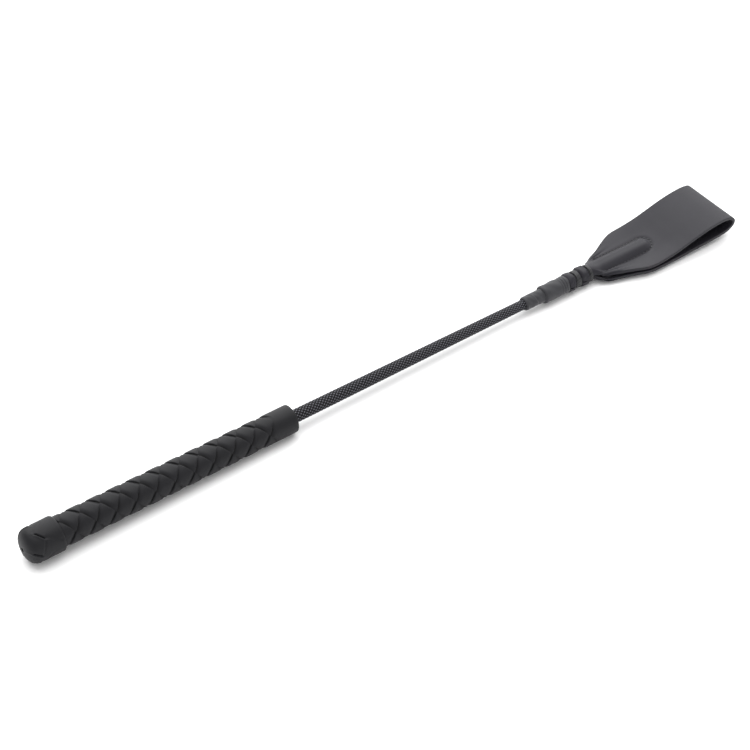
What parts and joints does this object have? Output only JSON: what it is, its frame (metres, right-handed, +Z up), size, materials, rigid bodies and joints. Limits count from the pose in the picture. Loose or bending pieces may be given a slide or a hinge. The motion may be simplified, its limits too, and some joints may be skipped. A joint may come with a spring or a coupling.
{
  "type": "riding crop",
  "caption": "Short riding crop with a moulded rubber grip, a braided tapering shaft, and a folded leather tongue that flexes at its seam.",
  "frame": {"origin": "on the table, under the middle of the crop's length and width", "axes": "+X from the butt to the tongue, +Y across the tongue, +Z up off the table; the shaft runs down towards the tongue by two thirds of a degree because the crop lies on its butt cap and on its neck"},
  "size_m": [0.4706, 0.0384, 0.0199],
  "materials": {
    "rubber": "matt black moulded rubber with a plaited relief",
    "liner_plastic": "plain dark moulded plastic, hidden",
    "glass_fibre": "resin-bonded glass-fibre rod, hidden; plastic stands in for the composite",
    "braid": "tightly braided black polyester yarn",
    "binding": "matt black binding tape and shrunk sleeve",
    "thread": "waxed black thread",
    "leather": "smooth dark grey-black finished leather with a suede back"
  },
  "bodies": {
    "handle": {"butt_cap": "rubber", "grip": "rubber", "handle_liner": "liner_plastic", "butt_plug": "liner_plastic", "shaft_core": "glass_fibre", "braid_rear": "braid"},
    "shaft_end": {"braid_front": "braid", "binding_tape": "binding", "binding_sleeve": "binding", "whipping_rear": "thread", "whipping_front": "thread", "core_end_cap": "liner_plastic", "tongue_root_upper": "leather", "tongue_root_lower": "leather", "seam_thread_upper": "thread", "seam_thread_lower": "thread"},
    "tongue": {"tongue_loop": "leather"}
  },
  "joints": [
    {"name": "shaft_flex", "type": "hinge", "parent": "handle", "child": "shaft_end", "pos_m": [0.01069, 0, 0.00718], "axis": [0, 1, 0], "range_deg": [-20, 20], "stiffness_Nm_per_rad": 6, "deforming": ["shaft_core"]},
    {"name": "tongue_flap", "type": "hinge", "parent": "shaft_end", "child": "tongue", "pos_m": [0.18868, 0, 0.00521], "axis": [0, 1, 0], "range_deg": [-45, 45], "stiffness_Nm_per_rad": 0.25}
  ]
}
